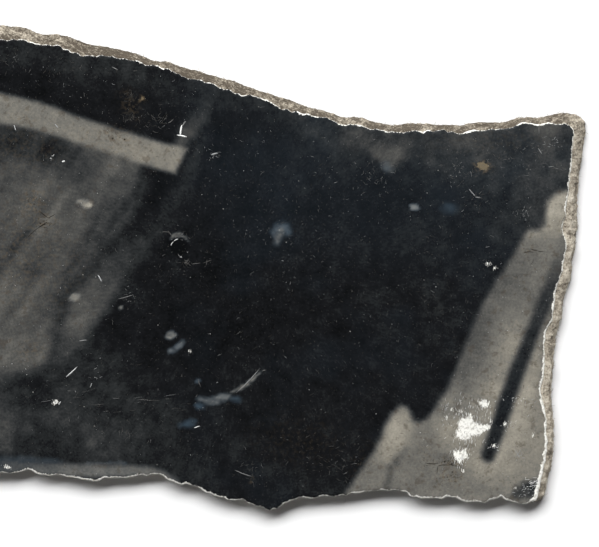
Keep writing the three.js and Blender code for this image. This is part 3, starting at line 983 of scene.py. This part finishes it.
marks = dict(
    hairs=(  # listed one by one: points from, to, bend, width in mm, shade
        (186, 121, 181, 127, 0.1, 0.24, 0.5), (182, 125, 179, 136, 0.12, 0.3, 0.97),
        (177, 135, 187, 137, 0, 0.27, 0.92), (168, 123, 174, 121, 0.3, 0.12, 0.45),
        # the next two strokes are painted highlight on the crater's upper rim
        (171, 246, 171, 241, -0.6, 0.12, 0.85), (174, 241, 178, 238, -0.2, 0.14, 0.85),
        (178, 254, 180, 257, 0, 0.06, 0.6), (180, 257, 182, 257, 0, 0.13, 0.85),
        (524, 253, 532, 249, -0.4, 0.14, 0.1), (531, 249, 537, 252, 0.3, 0.14, 0.1),
        (538, 251, 543, 253, 0.3, 0.1, 0.12), (513, 276, 517, 279, 0.5, 0.12, 0.14),
        (517, 279, 518, 275, 0.4, 0.1, 0.14), (530, 265, 536, 261, 0.5, 0.08, 0.2),
        (162, 232, 169, 231, -0.2, 0.1, 0.4), (168, 231, 172, 236, 0, 0.1, 0.4),
        (183, 262, 192, 263, -0.4, 0.08, 0.36), (191, 264, 201, 263, 0, 0.07, 0.45),
        (184, 264, 190, 260, 0.3, 0.08, 0.36), (206, 266, 208, 260, 0.2, 0.07, 0.4),
        (203, 263, 212, 260, 0, 0.07, 0.36), (54.8, 402.6, 56.4, 401.4, 0, 0.2, 0.6),
        (58.6, 405, 60.6, 401.5, 0, 0.16, 0.8), (469, 189, 475, 197, 0.1, 0.16, 0.6),
        (475, 197, 481, 198, 0, 0.14, 0.55), (98, 275, 102, 282, 0, 0.2, 0.75),
        (66, 377, 78, 368, 0.1, 0.2, 0.8), (538, 148, 542, 154, 0, 0.12, 0.6),
        (539, 125, 539, 134, 0, 0.08, 0.5), (235, 470, 251, 479, 0.15, 0.14, 0.5),
        (211, 155, 218, 153, 0, 0.28, 0.6), (79, 341, 87, 340, 0, 0.15, 0.55),
        (14, 125, 16, 131, 0, 0.15, 0.75), (55, 124, 58, 128, 0, 0.15, 0.7),
        (515, 450, 520, 458, 0, 0.1, 0.6), (515, 458, 521, 450, 0, 0.1, 0.55),
        (118, 299, 134, 296, 0.1, 0.1, 0.5), (62, 162, 65, 161, 0, 0.25, 0.9),
        (112, 67, 118, 70, 0, 0.15, 0.5), (92, 383, 90, 388, 0, 0.15, 0.6),
        (194, 428, 200, 426, 0, 0.16, 0.85), (198, 379, 200, 388, 0.1, 0.1, 0.4),
        (236, 393, 262, 371, 0.1, 0.14, 0.55), (262, 371, 266, 370, 0, 0.12, 0.45),
        (39, 211, 48, 218, 0, 0.13, 0.1), (48, 218, 55, 215, 0.1, 0.11, 0.12),
        (47, 222, 38, 228, 0, 0.14, 0.1), (38, 228, 27, 236, 0.1, 0.1, 0.13),
        (45, 223, 52, 223, 0, 0.1, 0.14), (425, 463, 438, 466, 0.2, 0.12, 0.12),
        (438, 466, 447, 463, -0.2, 0.12, 0.12), (447, 463, 455, 467, 0.1, 0.1, 0.14),
        (438, 466, 436, 474, 0.1, 0.1, 0.15),
    ),
    tufts=(  # lint in clumps: centre, spread both ways in pixels, how many, shade, longest in mm
        (130, 95, 7, 7, 30, 0.28, 0.8), (131, 116, 6, 8, 22, 0.28, 0.8), (155, 122, 14, 9, 34, 0.36, 1.1),
        (212, 152, 7, 7, 18, 0.6, 0.5), (186, 263, 6, 4, 12, 0.3, 0.9), (52, 158, 3, 3, 8, 0.9, 0.4),
        (489, 266, 4, 4, 7, 0.75, 0.4), (540, 150, 8, 8, 14, 0.4, 0.8), (180, 236, 9, 5, 20, 0.5, 0.4),
        (33, 203, 8, 12, 40, 0.14, 0.4), (42, 224, 10, 5, 26, 0.14, 0.4), (250, 470, 14, 10, 16, 0.35, 1.0),
        (128, 298, 8, 6, 10, 0.5, 0.8), (95, 375, 8, 8, 10, 0.7, 0.5), (10, 60, 16, 10, 20, 0.4, 0.8),
        (60, 70, 40, 16, 40, 0.3, 0.8), (500, 160, 40, 20, 50, 0.35, 0.8), (460, 300, 60, 60, 40, 0.3, 0.9),
        (120, 440, 50, 20, 20, 0.34, 0.6), (330, 460, 60, 25, 70, 0.35, 0.9),
        (450, 462, 12, 5, 60, 0.1, 0.35), (452, 476, 14, 9, 50, 0.12, 0.3),
        (428, 462, 12, 10, 30, 0.12, 0.35), (524, 212, 10, 6, 26, 0.5, 0.5),
        (458, 168, 10, 16, 44, 0.42, 0.6), (555, 141, 10, 6, 16, 0.6, 0.6),
        (478, 196, 18, 12, 30, 0.38, 0.6), (300, 230, 90, 50, 90, 0.42, 0.5),
        (375, 175, 30, 16, 40, 0.45, 0.6),
    ),
    scrapes=(  # strokes that lie mostly one way: the same, then their lean and its looseness in degrees
        (471, 410, 24, 12, 60, 0.85, 0.6, 86, 14), (462, 418, 12, 8, 26, 0.9, 0.7, 100, 14),
        (482, 422, 10, 6, 20, 0.9, 0.6, 85, 14), (468, 442, 14, 6, 22, 0.85, 0.9, 86, 8),
        (461, 456, 12, 14, 44, 0.9, 0.8, 88, 14), (446, 410, 7, 8, 16, 0.75, 0.5, 70, 20),
        (494, 446, 8, 3, 14, 0.85, 0.4, 10, 30), (508, 427, 9, 6, 16, 0.8, 0.35, 45, 90),
        (517, 401, 10, 6, 18, 0.8, 0.4, 60, 60), (517, 456, 7, 8, 16, 0.6, 0.7, 60, 60),
        (532, 483, 9, 5, 34, 0.95, 0.75, 8, 14), (526, 489, 12, 8, 40, 0.75, 0.5, 30, 50),
        (484, 404, 9, 8, 24, 0.9, 0.4, 80, 60), (473, 430, 26, 16, 36, 0.9, 0.4, 80, 60),
        (530, 400, 12, 14, 16, 0.7, 0.5, 70, 60), (445, 422, 8, 8, 14, 0.75, 0.4, 80, 40),
        (115, 404, 75, 12, 20, 0.42, 2.2, 3, 5), (552, 167, 14, 4, 12, 0.5, 1.0, -10, 20),
        (128, 440, 16, 14, 8, 0.32, 1.2, 88, 8),
    ),
    hairCount=800,
    hairLength=(0.15 * mm, 0.9 * mm),
    hairWidth=(0.02 * mm, 0.06 * mm),
    flat=0.12,  # a strand's height as a share of its width
    steps=6,
    sides=4,
    grainCount=3600,
    grainSize=(0.03 * mm, 0.08 * mm),
    lift=0.004 * mm,
    seed=21,
)


def markMaterial():
    # Household dust and cotton lint, which dulls the gloss in specks and threads: each mark's own
    # shade picks a colour from brown through grey to white; matt.
    material = newMaterial("dustAndLint")
    tree = material.node_tree
    shade = add(tree, "Attribute", {}, attribute_name="shade").outputs["Fac"]
    colour = add(tree, "ValToRGB", {"Fac": shade}, stops=[
        (0.0, "1d1a16"), (0.2, "35322d"), (0.45, "646361"), (0.7, "a2a4a5"), (1.0, "f5f5f2"),
    ])
    body = add(tree, "BsdfPrincipled", {
        "Base Color": colour, "Roughness": 0.8, "Specular IOR Level": 0.2,
    })
    add(tree, "OutputMaterial", {"Surface": body})
    return material


def scatter(rng, count):  # random places on the face, denser towards its upper edge
    rows, columns, _ = sheet.shape
    row = (rng.beta(1.25, 1.0, count) * (rows - 13)).astype(int) + 6
    column = rng.integers(6, columns - 7, count)
    place = sheet[row, column] + rng.uniform(-0.15, 0.15, (count, 2)) * mm
    return np.column_stack([place, np.full(count, cadBox[1].z + marks["lift"])])


def strands(rng, place, turn, length, shade, bend):  # loose strands as rows of a table, see makeMarks
    reach = np.column_stack([np.cos(turn), np.sin(turn)]) * length[:, None]
    width = rng.uniform(*marks["hairWidth"], len(turn))
    return np.column_stack([place, reach, bend, width, shade])


def makeMarks():
    # Every strand is one row: x, y, reach in x and y, bend, width and shade.
    rng = np.random.default_rng(marks["seed"])
    rows = []
    for x0, y0, x1, y1, bend, width, shade in marks["hairs"]:
        a, b = np.array(fromView(x0, y0)), np.array(fromView(x1, y1))
        rows.append([[*a, *(b - a), bend, width * mm, shade]])
    for curl, clumps in ((0.9, marks["tufts"]), (0.15, marks["scrapes"])):
        for cx, cy, wide, high, count, shade, longest, *lie in clumps:
            lean, loose = lie or (0, 180)
            place = rng.normal(0, 0.5, (count, 2)) * (wide, high) * view["pixel"] + fromView(cx, cy)
            turn = np.radians(lean + loose * rng.uniform(-1, 1, count))
            length = longest * mm * rng.uniform(0.2, 1, count)
            tint = np.clip(rng.normal(shade, 0.1, count), 0.05, 1)
            rows.append(strands(rng, place, turn, length, tint, rng.uniform(-curl, curl, count)))
    count = marks["hairCount"]
    length = rng.uniform(*marks["hairLength"], count) * rng.uniform(0.3, 1, count)
    turn, tint = rng.uniform(0, fullTurn, count), 0.7 * rng.beta(1.6, 2.0, count)
    rows.append(strands(rng, scatter(rng, count)[:, :2], turn, length, tint, rng.uniform(-0.9, 0.9, count)))
    table = np.vstack(rows)
    level = np.full(len(table), cadBox[1].z + marks["lift"])
    start = np.column_stack([table[:, :2], level])
    reach = np.column_stack([table[:, 2:4], 0 * level])
    up = np.column_stack([0 * level, 0 * level, 1 + 0 * level])
    length = np.linalg.norm(reach, axis=-1)
    steps, sides = marks["steps"], marks["sides"]
    points, faces = strandMesh(
        start, reach, up, length, table[:, 5], table[:, 4], marks["flat"], steps, sides)
    lint = markMaterial()
    shade = np.repeat(table[:, 6], steps * sides)
    makePiece("lint_and_scratches", points, faces, lint, {"shade": shade})
    count = marks["grainCount"]
    half = rng.uniform(*marks["grainSize"], (count, 1)) * rng.uniform(0.4, 1.0, (count, 3)) * [1, 1, 0.25]
    points, faces = grainMesh(scatter(rng, count), half, rng)
    shade = np.repeat(rng.beta(1.3, 1.9, count), 6)
    makePiece("dust_grains", points, faces, lint, {"shade": shade})


makeMarks()
